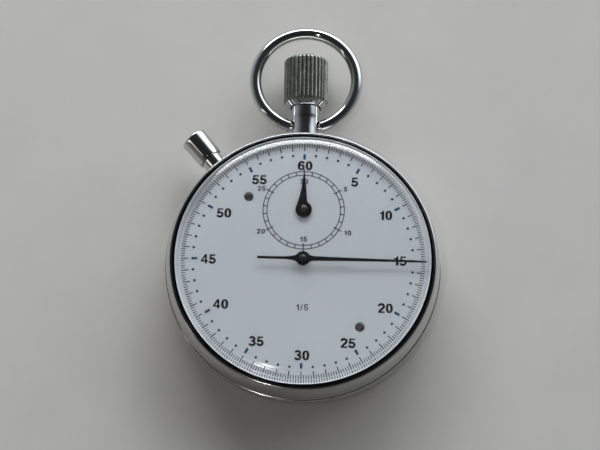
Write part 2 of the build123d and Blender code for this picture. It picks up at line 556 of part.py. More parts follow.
# ---------------------------------------------------------------- write
for name, solids in OUT.items():
    flat = []
    for s in solids:
        flat += list(s.solids()) if hasattr(s, "solids") else [s]
    shape = flat[0] if len(flat) == 1 else Compound(children=flat)
    export_step(shape, os.path.join("parts", name + ".step"))
print(len(OUT), "nodes")
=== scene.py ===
import json
import math

import bmesh
import bpy
from mathutils import Matrix, Vector


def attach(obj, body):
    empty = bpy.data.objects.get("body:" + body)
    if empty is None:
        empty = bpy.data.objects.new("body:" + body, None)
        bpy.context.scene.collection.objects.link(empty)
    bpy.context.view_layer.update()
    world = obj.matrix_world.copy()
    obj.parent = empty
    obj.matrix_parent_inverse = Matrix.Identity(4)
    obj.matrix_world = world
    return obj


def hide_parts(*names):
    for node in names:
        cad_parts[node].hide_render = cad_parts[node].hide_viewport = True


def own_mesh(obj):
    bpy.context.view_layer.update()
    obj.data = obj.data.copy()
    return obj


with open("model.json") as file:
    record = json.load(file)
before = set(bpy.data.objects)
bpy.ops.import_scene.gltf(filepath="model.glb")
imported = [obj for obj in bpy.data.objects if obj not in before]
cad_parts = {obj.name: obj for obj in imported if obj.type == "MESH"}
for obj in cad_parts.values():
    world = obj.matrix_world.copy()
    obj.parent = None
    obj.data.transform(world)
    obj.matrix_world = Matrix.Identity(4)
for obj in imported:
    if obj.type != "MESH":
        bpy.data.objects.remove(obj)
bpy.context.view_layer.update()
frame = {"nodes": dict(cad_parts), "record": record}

MM = 0.001
STEM_Z = 6.3
RESET_DEG = 40.2
COL = bpy.context.scene.collection


# ------------------------------------------------------------------ node helpers
def new_mat(name):
    m = bpy.data.materials.new(name)
    m.use_nodes = True
    nt = m.node_tree
    nt.nodes.clear()
    out = nt.nodes.new("ShaderNodeOutputMaterial")
    b = nt.nodes.new("ShaderNodeBsdfPrincipled")
    nt.links.new(b.outputs[0], out.inputs[0])
    return m, nt, b, out


def node(nt, kind, **kw):
    n = nt.nodes.new(kind)
    for k, v in kw.items():
        if k.startswith("i_"):
            n.inputs[k[2:].replace("_", " ")].default_value = v
        else:
            setattr(n, k, v)
    return n


def coords(nt, scale=(1, 1, 1)):
    tc = node(nt, "ShaderNodeTexCoord")
    mp = node(nt, "ShaderNodeMapping")
    mp.inputs["Scale"].default_value = scale
    nt.links.new(tc.outputs["Object"], mp.inputs["Vector"])
    return mp.outputs[0]


def noise(nt, vec, scale, detail=4.0, rough=0.55):
    n = node(nt, "ShaderNodeTexNoise")
    n.inputs["Scale"].default_value = scale
    n.inputs["Detail"].default_value = detail
    n.inputs["Roughness"].default_value = rough
    nt.links.new(vec, n.inputs["Vector"])
    return n.outputs["Fac"]


def ramp(nt, fac, stops):
    r = node(nt, "ShaderNodeValToRGB")
    e = r.color_ramp.elements
    while len(e) < len(stops):
        e.new(0.5)
    for s, (p, c) in zip(e, stops):
        s.position = p
        s.color = c if len(c) == 4 else (*c, 1)
    nt.links.new(fac, r.inputs[0])
    return r.outputs["Color"]


def maprange(nt, fac, a, b, c, d):
    r = node(nt, "ShaderNodeMapRange")
    for k, v in zip(("From Min", "From Max", "To Min", "To Max"), (a, b, c, d)):
        r.inputs[k].default_value = v
    nt.links.new(fac, r.inputs["Value"])
    return r.outputs[0]


def bump(nt, b, height, strength, dist):
    n = node(nt, "ShaderNodeBump")
    n.inputs["Strength"].default_value = strength
    n.inputs["Distance"].default_value = dist
    nt.links.new(height, n.inputs["Height"])
    nt.links.new(n.outputs[0], b.inputs["Normal"])
    return n


def metal(name, dark, light, r0, r1, scale=900.0, grain=(1, 1, 1), bump_s=0.05, bump_d=0.00001, fine=6000.0):
    """Metal with faint tone variation, fine handling marks in the gloss and a very shallow grain."""
    m, nt, b, out = new_mat(name)
    v = coords(nt, grain)
    n1 = noise(nt, v, scale, 5, 0.6)
    tone = ramp(nt, n1, [(0.3, dark), (0.7, light)])
    nt.links.new(tone, b.inputs["Base Color"])
    n2 = noise(nt, v, fine, 3, 0.6)
    nt.links.new(maprange(nt, n2, 0.35, 0.7, r0, r1), b.inputs["Roughness"])
    b.inputs["Metallic"].default_value = 1.0
    bump(nt, b, n2, bump_s, bump_d)
    return m


# ------------------------------------------------------------------ materials
M = {}
M["chrome"] = metal("polished_chrome", (0.60, 0.60, 0.60), (0.66, 0.66, 0.66), 0.03, 0.085, 260.0, fine=2500.0, bump_s=0.03, bump_d=0.000004)
M["case_chrome"] = metal("case_side_chrome", (0.55, 0.55, 0.545), (0.64, 0.64, 0.635), 0.09, 0.19, 220.0, (1, 1, 2.2), fine=3000.0, bump_s=0.05, bump_d=0.000006)
# the bezel's nearly black base colour is painted dark reflection: it stands in for the dark room overhead seen in the
# polished bezel
M["dark_chrome"] = metal("bezel_painted_dark_reflection", (0.035, 0.036, 0.04), (0.055, 0.056, 0.06), 0.06, 0.14, 300.0, fine=3000.0, bump_s=0.03)
M["satin_chrome"] = metal("crown_satin_chrome", (0.20, 0.21, 0.185), (0.40, 0.41, 0.375), 0.22, 0.42, 1400.0, (1, 0.35, 1), fine=5200.0, bump_s=0.35, bump_d=0.00003)
M["bright_ring"] = metal("bright_rim", (0.90, 0.93, 0.96), (0.95, 0.97, 0.99), 0.50, 0.60, 500.0, fine=2500.0, bump_s=0.03)
M["rim_mirror"] = metal("rim_mirror", (0.84, 0.86, 0.88), (0.90, 0.92, 0.94), 0.12, 0.18, 300.0, fine=1500.0, bump_s=0.01, bump_d=0.000002)
M["steel"] = metal("ground_steel", (0.50, 0.50, 0.50), (0.62, 0.62, 0.62), 0.18, 0.32, 900.0, (1, 6, 1), fine=4000.0, bump_s=0.12)
M["dark_steel"] = metal("dark_steel", (0.13, 0.13, 0.135), (0.24, 0.24, 0.245), 0.24, 0.42, 1500.0, (1, 5, 1), fine=6000.0, bump_s=0.2)
M["cap_steel"] = metal("cap_dull_steel", (0.045, 0.042, 0.038), (0.08, 0.075, 0.068), 0.3, 0.5, 1500.0, fine=5000.0, bump_s=0.15)
M["screw_steel"] = metal("screw_steel", (0.22, 0.205, 0.185), (0.32, 0.30, 0.275), 0.20, 0.28, 1200.0, (1, 5, 1), fine=5000.0, bump_s=0.2)
M["brass"] = metal("gilt_brass", (0.74, 0.53, 0.22), (0.84, 0.66, 0.34), 0.18, 0.32, 900.0, fine=4500.0, bump_s=0.12)

# frosted nickel plate of the movement
m, nt, b, out = new_mat("frosted_nickel")
v = coords(nt)
w = node(nt, "ShaderNodeTexWave", wave_type="RINGS", rings_direction="Z")
w.inputs["Scale"].default_value = 160.0
w.inputs["Distortion"].default_value = 2.0
nt.links.new(v, w.inputs["Vector"])
nt.links.new(ramp(nt, w.outputs["Fac"], [(0.2, (0.60, 0.57, 0.52)), (0.8, (0.72, 0.70, 0.65))]), b.inputs["Base Color"])
nt.links.new(maprange(nt, noise(nt, v, 5000.0), 0.3, 0.7, 0.25, 0.42), b.inputs["Roughness"])
b.inputs["Metallic"].default_value = 1.0
bump(nt, b, w.outputs["Fac"], 0.12, 0.00001)
M["nickel"] = m

# silver white dial lacquer: fine sparkle, slight cloud
m, nt, b, out = new_mat("dial_lacquer")
v = coords(nt)
cloud = noise(nt, v, 38.0, 3, 0.5)
grain = noise(nt, v, 9000.0, 2, 0.5)
mix = node(nt, "ShaderNodeMix", data_type="RGBA", blend_type="MIX")
nt.links.new(maprange(nt, grain, 0.35, 0.65, 0.0, 1.0), mix.inputs["Factor"])
nt.links.new(ramp(nt, cloud, [(0.25, (0.450, 0.468, 0.488)), (0.75, (0.478, 0.497, 0.517))]), mix.inputs["A"])
nt.links.new(ramp(nt, cloud, [(0.25, (0.480, 0.499, 0.519)), (0.75, (0.510, 0.530, 0.551))]), mix.inputs["B"])
nt.links.new(mix.outputs["Result"], b.inputs["Base Color"])
nt.links.new(maprange(nt, grain, 0.3, 0.7, 0.55, 0.68), b.inputs["Roughness"])
b.inputs["Metallic"].default_value = 0.0
bump(nt, b, grain, 0.08, 0.000008)
M["dial_paint"] = m


def ink(name, col, col2, rough=0.7, spec=0.04):
    m, nt, b, out = new_mat(name)
    b.inputs["Specular IOR Level"].default_value = spec
    v = coords(nt)
    n = noise(nt, v, 2500.0, 3, 0.6)
    nt.links.new(ramp(nt, n, [(0.3, col), (0.7, col2)]), b.inputs["Base Color"])
    nt.links.new(maprange(nt, n, 0.3, 0.7, rough - 0.08, rough + 0.1), b.inputs["Roughness"])
    bump(nt, b, n, 0.1, 0.000005)
    return m


M["ink_black"] = ink("dial_ink_black", (0.0015, 0.0017, 0.0025), (0.0035, 0.004, 0.006))
M["ink_teal"] = ink("dial_ink_teal", (0.003, 0.055, 0.115), (0.006, 0.075, 0.150))
M["ink_dot"] = ink("dial_ink_dot", (0.003, 0.036, 0.072), (0.006, 0.050, 0.095))
M["black_paint"] = ink("hand_black", (0.0015, 0.0015, 0.002), (0.004, 0.004, 0.0045), 0.5, 0.10)
M["black_rubber"] = ink("gasket_rubber", (0.02, 0.02, 0.02), (0.04, 0.04, 0.04), 0.7)

# acrylic crystal: refracts what is seen, lets the lamps through to the dial
m, nt, b, out = new_mat("acrylic_crystal")
v = coords(nt)
n = noise(nt, v, 90.0, 2, 0.5)
b.inputs["Base Color"].default_value = (0.985, 0.992, 0.995, 1)
b.inputs["Transmission Weight"].default_value = 1.0
b.inputs["IOR"].default_value = 1.46
nt.links.new(maprange(nt, n, 0.3, 0.7, 0.12, 0.13), b.inputs["Roughness"])
tr = node(nt, "ShaderNodeBsdfTransparent")
tr.inputs[0].default_value = (0.95, 0.96, 0.965, 1)
lp = node(nt, "ShaderNodeLightPath")
mx = node(nt, "ShaderNodeMixShader")
nt.links.new(lp.outputs["Is Shadow Ray"], mx.inputs[0])
nt.links.new(b.outputs[0], mx.inputs[1])
nt.links.new(tr.outputs[0], mx.inputs[2])
nt.links.new(mx.outputs[0], out.inputs[0])
M["acrylic"] = m

# every carried-over CAD node takes its record slot's material
slot_of = {s["node"]: s.get("material_slot") for s in frame["record"]["subparts"]}
for name, o in frame["nodes"].items():
    mat = M["screw_steel"] if name == "dial_screws" else M.get(slot_of.get(name), M["steel"])
    o.data.materials.clear()
    o.data.materials.append(mat)


# ------------------------------------------------------------------ mesh helpers
def finish_mesh(name, bm, mat, body, smooth=32.0):
    bmesh.ops.remove_doubles(bm, verts=bm.verts, dist=1e-8)
    bmesh.ops.recalc_face_normals(bm, faces=bm.faces)
    me = bpy.data.meshes.new(name)
    bm.to_mesh(me)
    bm.free()
    for p in me.polygons:
        p.use_smooth = True
    me.set_sharp_from_angle(angle=math.radians(smooth))
    me.materials.append(M[mat] if isinstance(mat, str) else mat)
    o = bpy.data.objects.new(name, me)
    COL.objects.link(o)
    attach(o, body)
    return o


def along_y(p, deg=0.0):
    """(x, y, t) built about Z, laid along +Y at the stem height and turned about Z."""
    x, y, t = p
    q = (x, t, STEM_Z - y)
    a = math.radians(deg)
    return (q[0] * math.cos(a) - q[1] * math.sin(a), q[0] * math.sin(a) + q[1] * math.cos(a), q[2])


def lathe(name, prof, mat, body, segs=288, closed=True, place=None, smooth=32.0):
    """Solid of revolution from a closed profile of (r, z) in mm. Points on the axis become one vertex."""
    bm = bmesh.new()
    rings = []
    for r, z in prof:
        if r < 1e-6:
            p = (0, 0, z)
            p = place(p) if place else p
            rings.append([bm.verts.new([c * MM for c in p])])
        else:
            row = []
            for k in range(segs):
                a = 2 * math.pi * k / segs
                p = (r * math.cos(a), r * math.sin(a), z)
                p = place(p) if place else p
                row.append(bm.verts.new([c * MM for c in p]))
            rings.append(row)
    n = len(rings)
    for i in range(n if closed else n - 1):
        a, b = rings[i], rings[(i + 1) % n]
        if len(a) == 1 and len(b) == 1:
            continue
        for k in range(segs):
            j = (k + 1) % segs
            if len(a) == 1:
                bm.faces.new((a[0], b[k], b[j]))
            elif len(b) == 1:
                bm.faces.new((a[k], b[0], a[j]))
            else:
                bm.faces.new((a[k], b[k], b[j], a[j]))
    return finish_mesh(name, bm, mat, body, smooth)


def arc(c, rx, rz, a0, a1, n):
    """Elliptic arc about c, angles in degrees in the (r, z) plane."""
    return [
        (c[0] + rx * math.cos(math.radians(a0 + (a1 - a0) * k / n)), c[1] + rz * math.sin(math.radians(a0 + (a1 - a0) * k / n)))
        for k in range(n + 1)
    ]


def prism(bm, pts, z0, z1, at=(0, 0), ang=0.0, scale=1.0):
    """Plate from a 2-D outline, in mm."""
    c, s = math.cos(ang), math.sin(ang)
    lo, hi = [], []
    for x, y in pts:
        X = at[0] + (x * c - y * s) * scale
        Y = at[1] + (x * s + y * c) * scale
        lo.append(bm.verts.new((X * MM, Y * MM, z0 * MM)))
        hi.append(bm.verts.new((X * MM, Y * MM, z1 * MM)))
    n = len(pts)
    bm.faces.new(hi)
    bm.faces.new(lo[::-1])
    for k in range(n):
        j = (k + 1) % n
        bm.faces.new((lo[k], lo[j], hi[j], hi[k]))


def band(bm, outer, inner, z0, z1, at=(0, 0), ang=0.0, scale=1.0, closed=True):
    """Plate between two outlines with the same number of points."""
    c, s = math.cos(ang), math.sin(ang)

    def put(x, y, z):
        return bm.verts.new(((at[0] + (x * c - y * s) * scale) * MM, (at[1] + (x * s + y * c) * scale) * MM, z * MM))

    oh = [put(x, y, z1) for x, y in outer]
    ih = [put(x, y, z1) for x, y in inner]
    ol = [put(x, y, z0) for x, y in outer]
    il = [put(x, y, z0) for x, y in inner]
    n = len(outer)
    for k in range(n if closed else n - 1):
        j = (k + 1) % n
        bm.faces.new((oh[k], oh[j], ih[j], ih[k]))
        bm.faces.new((ol[k], il[k], il[j], ol[j]))
        bm.faces.new((oh[k], ol[k], ol[j], oh[j]))
        bm.faces.new((ih[k], ih[j], il[j], il[k]))
    if not closed:
        bm.faces.new((oh[0], ih[0], il[0], ol[0]))
        bm.faces.new((oh[-1], ol[-1], il[-1], ih[-1]))


# ------------------------------------------------------------------ numerals
def ell_pts(cx, cy, a, b, n=40, e=2.3, a0=0.0, a1=360.0, last=False):
    pts = []
    for k in range(n + (1 if last else 0)):
        t = math.radians(a0 + (a1 - a0) * k / n)
        c, s = math.cos(t), math.sin(t)
        pts.append((cx + a * math.copysign(abs(c) ** (2 / e), c), cy + b * math.copysign(abs(s) ** (2 / e), s)))
    return pts


def stroke_sides(path, w):
    L, R = [], []
    n = len(path)
    for k in range(n):
        p = path[max(0, k - 1)]
        q = path[min(n - 1, k + 1)]
        dx, dy = q[0] - p[0], q[1] - p[1]
        d = math.hypot(dx, dy) or 1.0
        nx, ny = -dy / d * w / 2, dx / d * w / 2
        L.append((path[k][0] + nx, path[k][1] + ny))
        R.append((path[k][0] - nx, path[k][1] - ny))
    return L, R


GLYPH_W = {"0": 0.76, "1": 0.56, "2": 0.75, "3": 0.75, "4": 0.77, "5": 0.75, "6": 0.76, "/": 0.42}


def glyph(bm, ch, at, ang, h, z0, z1, wt=1.0):
    """One digit, drawn as plates: at is its lower left corner and h its height."""
    dz = 0.0006

    def P(pts, k=0):
        prism(bm, pts, z0, z1 + k * dz, at, ang, h)

    def S(path, w, k=0):
        a, b = stroke_sides(path, w * wt)
        band(bm, a, b, z0, z1 + k * dz, at, ang, h, closed=False)

    def Rg(cx, cy, a, b, wa, wb):
        band(bm, ell_pts(cx, cy, a, b), ell_pts(cx, cy, a - wa * wt, b - wb * wt, e=2.2), z0, z1, at, ang, h)

    if ch == "0":
        Rg(0.38, 0.5, 0.365, 0.51, 0.205, 0.15)
    elif ch == "1":
        x0 = 0.51 - 0.205 * wt
        P([(x0, 0), (0.51, 0), (0.51, 1), (0.37, 1), (0.31, 0.88), (0.20, 0.82), (0.06, 0.80), (0.06, 0.67), (x0, 0.67)])
    elif ch == "2":
        S(ell_pts(0.37, 0.69, 0.265, 0.225, 22, 2.0, 175, -38, True) + [(0.42, 0.40), (0.28, 0.28), (0.165, 0.13), (0.13, 0.05)], 0.19)
        P([(0.02, 0), (0.72, 0), (0.72, 0.17), (0.06, 0.17)], 1)
    elif ch == "3":
        S(ell_pts(0.36, 0.74, 0.235, 0.185, 22, 2.0, 170, -85, True), 0.175)
        S(ell_pts(0.365, 0.29, 0.27, 0.205, 22, 2.0, 85, -172, True), 0.18, 1)
        P([(0.25, 0.455), (0.40, 0.455), (0.40, 0.60), (0.25, 0.60)], 2)
    elif ch == "4":
        P([(0.44, 0), (0.63, 0), (0.63, 1), (0.44, 1)])
        P([(0.01, 0.205), (0.75, 0.205), (0.75, 0.36), (0.01, 0.36)], 1)
        P([(0.01, 0.34), (0.20, 0.34), (0.46, 0.74), (0.46, 1.0), (0.42, 1.0)], 2)
    elif ch == "5":
        P([(0.13, 0.83), (0.68, 0.83), (0.68, 1), (0.13, 1)])
        P([(0.055, 0.44), (0.235, 0.47), (0.30, 0.9), (0.13, 1.0)], 1)
        S([(0.10, 0.47)] + ell_pts(0.36, 0.325, 0.275, 0.235, 24, 2.0, 130, -170, True), 0.18, 2)
    elif ch == "6":
        Rg(0.38, 0.325, 0.355, 0.335, 0.19, 0.145)
        S(ell_pts(0.42, 0.46, 0.305, 0.455, 22, 2.1, 190, 35, True), 0.185, 1)
    elif ch == "/":
        P([(0.02, 0), (0.16, 0), (0.42, 1), (0.28, 1)])


def number(bm, text, centre, h, z0, z1, wt=1.0, gap=0.055):
    w = sum(GLYPH_W[c] for c in text) + gap * (len(text) - 1)
    x = centre[0] - w * h / 2
    for c in text:
        glyph(bm, c, (x, centre[1] - h / 2), 0.0, h, z0, z1, wt)
        x += (GLYPH_W[c] + gap) * h


# ------------------------------------------------------------------ case
SIDE_R, FLAT_R, Z_SIDE = 27.5, 21.0, 4.8


def ell(z):
    return FLAT_R + (SIDE_R - FLAT_R) * math.sqrt(max(0.0, 1 - ((Z_SIDE - z) / Z_SIDE) ** 2))


low = [(ell(z), z) for z in [2.28, 2.6, 3.0, 3.4, 3.8, 4.2, 4.5]]
wall = []
for k in range(13):  # long convex upper wall, through (27.28, 7.22), (26.95, 10.2), (26.22, 12.3)
    t = k / 12
    z = 7.22 + (12.05 - 7.22) * t
    l0 = (z - 10.2) * (z - 12.3) / ((7.22 - 10.2) * (7.22 - 12.3))
    l1 = (z - 7.22) * (z - 12.3) / ((10.2 - 7.22) * (10.2 - 12.3))
    l2 = (z - 7.22) * (z - 10.2) / ((12.3 - 7.22) * (12.3 - 10.2))
    wall.append((27.28 * l0 + 26.98 * l1 + 26.36 * l2, z))
case_prof = (
    [(ell(2.2) - 0.10, 2.2), (ell(2.2) - 0.03, 2.22)]
    + low
    + [(27.5, 4.8), (27.5, 5.4), (27.5, 6.4), (27.5, 6.92)]
    + arc((27.3, 6.98), 0.2, 0.2, 10, 80, 6)
    + [(27.29, 7.185)]
    + wall[0:]
    + [(26.35, 12.13), (26.31, 12.19), (26.25, 12.245), (26.18, 12.28), (26.08, 12.29), (26.0, 12.25), (25.97, 12.1), (25.97, 11.6), (25.0, 11.6), (25.0, 10.9), (24.4, 10.9), (24.4, 2.2)]
)
o = lathe("case_middle", case_prof, "case_chrome", "case", 360)
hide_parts("case_body")

back_prof = (
    [(0, 0), (8, 0), (16, 0), (20.6, 0), (21.0, 0.0)]
    + [(ell(z), z) for z in [0.02, 0.08, 0.2, 0.4, 0.7, 1.0, 1.35, 1.7, 1.95, 2.06]]
    + [(ell(2.12) - 0.05, 2.13), (ell(2.14) - 0.12, 2.16), (25.2, 2.17), (24.36, 2.17), (24.36, 3.0), (23.3, 3.0), (22.4, 1.0), (0, 1.0)]
)
o = lathe("back_cover", back_prof, "case_chrome", "case", 360)
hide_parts("case_back")

bez_prof = [(25.32, 11.62), (25.94, 11.62), (25.94, 12.26)] + arc((25.72, 12.28), 0.22, 0.30, 0, 90, 9) + [(25.66, 12.58), (25.6, 12.57)] + arc((25.5, 12.42), 0.17, 0.14, 80, 180, 6)
# bezel ring in the metal whose nearly black base colour is painted dark reflection
o = lathe("bezel_ring", bez_prof, "dark_chrome", "case", 360)
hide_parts("bezel")

DIAL_SCREWS = [(-10.94, 12.87), (11.29, -13.48)]
rim_prof = [(24.42, 11.31), (24.94, 11.31), (24.94, 11.7), (25.20, 11.7), (25.20, 12.30), (25.16, 12.35), (24.92, 12.35), (24.86, 12.31)]
o = lathe("rim_reflector", rim_prof, "bright_ring", "case", 360)
o.data.materials.append(M["rim_mirror"])
for p in o.data.polygons:
    r = math.hypot(p.center[0], p.center[1]) / MM
    if r < 24.8 and p.normal[2] > 0.1:
        p.material_index = 1
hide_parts("reflector_ring")

# crystal: flat foot, bevelled shoulder rolled into a shallow dome
dome = [(21.0 * k / 24, 14.80 - 0.54 * (k / 24) ** 2) for k in range(25)]
out_sh = [(21.0, 14.26), (21.6, 14.19), (22.2, 14.10), (22.75, 13.99), (23.3, 13.855), (23.85, 13.68), (24.4, 13.455), (24.75, 13.26), (25.03, 13.04), (25.2, 12.82), (25.27, 12.62), (25.27, 12.40)]
inner = [(24.46, 12.39), (24.46, 12.56), (24.3, 12.66), (23.9, 12.84), (23.4, 13.02), (22.8, 13.15)] + [
    (22.0 * (1 - k / 20), 13.5 - 0.28 * (1 - k / 20) ** 2) for k in range(21)
]
o = lathe("crystal_dome", dome + out_sh[1:] + inner, "acrylic", "case", 360, closed=False)
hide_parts("crystal")

# return springs round the stem and the reset stem
def coil_piece(name, R, wire, y0, y1, turns, deg, body, node_name):
    bm = bmesh.new()
    n = 40 * turns
    lo, hi = y0 + wire, y1 - wire
    ring0 = ring = None
    pitch = (hi - lo) / turns
    tilt = math.atan2(pitch, 2 * math.pi * R)
    for k in range(n + 1):
        t = 2 * math.pi * turns * k / n
        y = lo + (hi - lo) * k / n
        er = (math.cos(t), math.sin(t))
        vs = []
        for q in range(10):
            w = 2 * math.pi * q / 10
            rr = R + wire * math.cos(w)
            off = -wire * math.sin(w) * math.sin(tilt)
            p = (rr * er[0] - off * er[1], rr * er[1] + off * er[0], y + wire * math.sin(w) * math.cos(tilt))
            vs.append(bm.verts.new([c * MM for c in along_y(p, deg)]))
        if ring:
            for q in range(10):
                bm.faces.new((ring[q], ring[(q + 1) % 10], vs[(q + 1) % 10], vs[q]))
        else:
            ring0 = vs
        ring = vs
    bm.faces.new(ring0[::-1])
    bm.faces.new(ring)
    o = finish_mesh(name, bm, "steel", body, 50.0)
    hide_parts(node_name)
    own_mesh(o)
    return o


coil_piece("crown_spring_coil", 2.0, 0.16, 28.0, 38.2, 7, 0.0, "case", "crown_return_spring")
coil_piece("reset_spring_coil", 1.2, 0.14, 26.6, 33.6, 7, RESET_DEG, "case", "reset_return_spring")

# slotted dial screws with low domed heads
def screw_head(bm, c, deg, R=0.93, half=0.13):
    def lift(x, y):
        d = math.hypot(x, y)
        return 11.27 - 0.13 * (d / R) ** 2 if d < 0.86 * R else 11.27 - 0.13 * 0.74 - 0.55 * (d - 0.86 * R)

    ca, sa = math.cos(math.radians(deg)), math.sin(math.radians(deg))

    def put(x, y, z):
        return bm.verts.new(((c[0] + x * ca - y * sa) * MM, (c[1] + x * sa + y * ca) * MM, z * MM))

    a0 = math.asin(half / R)
    for sg in (1, -1):
        rim = [(R * math.cos(t) * sg, R * math.sin(t) * sg) for t in [a0 + (math.pi - 2 * a0) * k / 36 for k in range(37)]]
        rings = []
        for f in (0.25, 0.5, 0.7, 0.84, 0.93, 1.0):
            rings.append([put(x * f, half * sg + (y - half * sg) * f, lift(x * f, half * sg + (y - half * sg) * f)) for x, y in rim])
        mid = put(0, half * sg, lift(0, half))
        for k in range(36):
            bm.faces.new((mid, rings[0][k], rings[0][k + 1]))
            for i in range(5):
                bm.faces.new((rings[i][k], rings[i + 1][k], rings[i + 1][k + 1], rings[i][k + 1]))
        low = [put(x, y, 11.08) for x, y in rim]
        for k in range(36):
            bm.faces.new((rings[5][k], low[k], low[k + 1], rings[5][k + 1]))
        edge = [r[0] for r in rings[::-1]] + [mid] + [r[-1] for r in rings]
        bm.faces.new(edge + [low[-1], low[0]])
        bm.faces.new(low)
    floor = [(R * math.cos(t), R * math.sin(t)) for t in [2 * math.pi * k / 72 for k in range(72)]]
    hi = [put(x, y, 11.12) for x, y in floor]
    lo = [put(x, y, 11.06) for x, y in floor]
    bm.faces.new(hi)
    bm.faces.new(lo[::-1])
    for k in range(72):
        bm.faces.new((hi[k], hi[(k + 1) % 72], lo[(k + 1) % 72], lo[k]))


bm = bmesh.new()
for k, q in enumerate(DIAL_SCREWS):
    screw_head(bm, q, 25 + 70 * k)
o = finish_mesh("screw_heads", bm, "screw_steel", "case", 40.0)
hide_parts("dial_screws")

# ------------------------------------------------------------------ pendant, crown, bow
tube_prof = (
    [(2.72, 24.8), (2.72, 27.1), (2.72, 28.0)]
    + [(2.72, 29.0), (2.72, 30.9), (2.75, 31.2), (2.82, 31.5), (2.85, 31.75), (2.85, 36.0), (2.85, 39.3), (2.78, 39.52), (2.65, 39.6), (2.3, 39.6), (2.3, 28.0), (1.75, 28.0), (1.75, 24.8)]
)
o = lathe("pendant", tube_prof, "chrome", "case", 128, place=along_y)
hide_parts("pendant_tube")

KN = 32


def crown_mesh():
    rows = []  # (t along the axis, envelope radius, knurled)
    rows += [(41.3, 0.0, 0), (41.3, 1.0, 0), (41.3, 3.05, 0), (38.0, 3.05, 0), (33.7, 3.05, 0), (33.6, 3.12, 0)]
    rows += [(33.6, 3.28, 0), (33.66, 3.36, 0), (33.9, 3.58, 0), (34.2, 3.87, 0), (34.42, 4.08, 0)]
    rows += [(34.48 + 0.06 * k, 4.13 + 0.053 * k, 1) for k in range(0, 8)]
    rows += [(35.0, 4.53, 1), (35.3, 4.56, 1)] + [(36.0 + 0.5 * k, 4.56, 1) for k in range(0, 15)]
    rows += [(43.35, 4.54, 1), (43.55, 4.48, 1), (43.72, 4.39, 1), (43.86, 4.28, 1), (43.98, 4.15, 0), (44.08, 3.98, 0), (44.18, 3.72, 0), (44.3, 2.9, 0), (44.39, 2.0, 0), (44.46, 1.0, 0), (44.48, 0.0, 0)]
    per = 12
    segs = KN * per
    bm = bmesh.new()
    rings = []
    for t, env, kn in rows:
        if env < 1e-6:
            rings.append([bm.verts.new([c * MM for c in along_y((0, 0, t))])])
            continue
        row = []
        for k in range(segs):
            a = 2 * math.pi * k / segs
            r = env
            if kn:
                ph = (k % per) / per
                f = abs(ph - 0.5) * 2  # 0 at the ridge top, 1 in the groove
                ridge = 4.50 - 0.34 * max(0.0, (f - 0.30) / 0.70) ** 1.1
                r = min(env, ridge)
            row.append(bm.verts.new([c * MM for c in along_y((r * math.cos(a), r * math.sin(a), t))]))
        rings.append(row)
    for i in range(len(rings) - 1):
        a, b = rings[i], rings[i + 1]
        for k in range(segs):
            j = (k + 1) % segs
            if len(a) == 1:
                bm.faces.new((a[0], b[k], b[j]))
            elif len(b) == 1:
                bm.faces.new((a[k], b[0], a[j]))
            else:
                bm.faces.new((a[k], b[k], b[j], a[j]))
    return finish_mesh("crown_knurled", bm, "satin_chrome", "crown_and_stem", 40.0)


o = crown_mesh()
# the smooth collar of the crown is bright, the knurl and the smooth end are dull
o.data.materials.append(M["chrome"])
for p in o.data.polygons:
    y = p.center[1] / MM
    if y < 34.46:
        p.material_index = 1
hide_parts("crown")

# bow: round wire ring whose ends turn into the pendant
BOW_R, WIRE, BCY, PIVY = 10.35, 1.25, 39.65, 29.65
bm = bmesh.new()
a_end = math.degrees(math.asin(3.06 / BOW_R))
N, Kc = 220, 40
rings = []
for i in range(N + 1):
    a = math.radians(-90 + a_end + (360 - 2 * a_end) * i / N)
    cx, cy = BOW_R * math.cos(a), BCY + BOW_R * math.sin(a)
    ux, uy = math.cos(a), math.sin(a)
    row = []
    for k in range(Kc):
        b = 2 * math.pi * k / Kc
        r = WIRE
        row.append(bm.verts.new(((cx + ux * r * math.cos(b)) * MM, (cy + uy * r * math.cos(b)) * MM, (STEM_Z + r * math.sin(b)) * MM)))
    rings.append(row)
for a, b in zip(rings, rings[1:]):
    for k in range(Kc):
        j = (k + 1) % Kc
        bm.faces.new((a[k], a[j], b[j], b[k]))
for row, sx in ((rings[0], 1), (rings[-1], -1)):
    # rounded end, drawn in towards the pendant
    prev = row
    c0 = Vector((0, 0, 0))
    for v in row:
        c0 += v.co
    c0 /= Kc
    for f, d in ((0.93, 0.04), (0.78, 0.085), (0.5, 0.10)):
        nxt = [bm.verts.new((c0 + (v.co - c0) * f) + Vector((-sx * d * MM, 0, 0))) for v in row]
        for k in range(Kc):
            j = (k + 1) % Kc
            bm.faces.new((prev[k], prev[j], nxt[j], nxt[k]) if sx < 0 else (prev[j], prev[k], nxt[k], nxt[j]))
        prev = nxt
    bm.faces.new(prev)
o = finish_mesh("bow_ring", bm, "chrome", "bow_body", 50.0)
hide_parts("bow")

# ------------------------------------------------------------------ reset button
btn = (
    [(2.24, 29.45), (2.42, 29.4), (2.53, 29.44), (2.58, 29.58)]
    + [(2.58 + 0.165 * k / 6, 29.6 + 5.15 * k / 6) for k in range(1, 7)]
    + arc((2.545, 34.78), 0.2, 0.42, 8, 90, 7)
    + [(2.3, 35.21), (1.9, 35.25), (1.2, 35.31), (0.5, 35.345), (0, 35.36), (0, 33.6), (2.24, 33.6)]
)
o = lathe("reset_cap", btn, "chrome", "reset", 128, place=lambda p: along_y(p, RESET_DEG))
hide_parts("reset_button")
rt = [(0.78, 24.8), (2.14, 24.8), (2.14, 26.9), (2.14, 28.1), (2.14, 30.0), (2.14, 32.45), (2.0, 32.6), (1.6, 32.6), (1.6, 26.6), (0.78, 26.6)]
o = lathe("reset_guide", rt, "chrome", "case", 128, place=lambda p: along_y(p, RESET_DEG))
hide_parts("reset_tube")
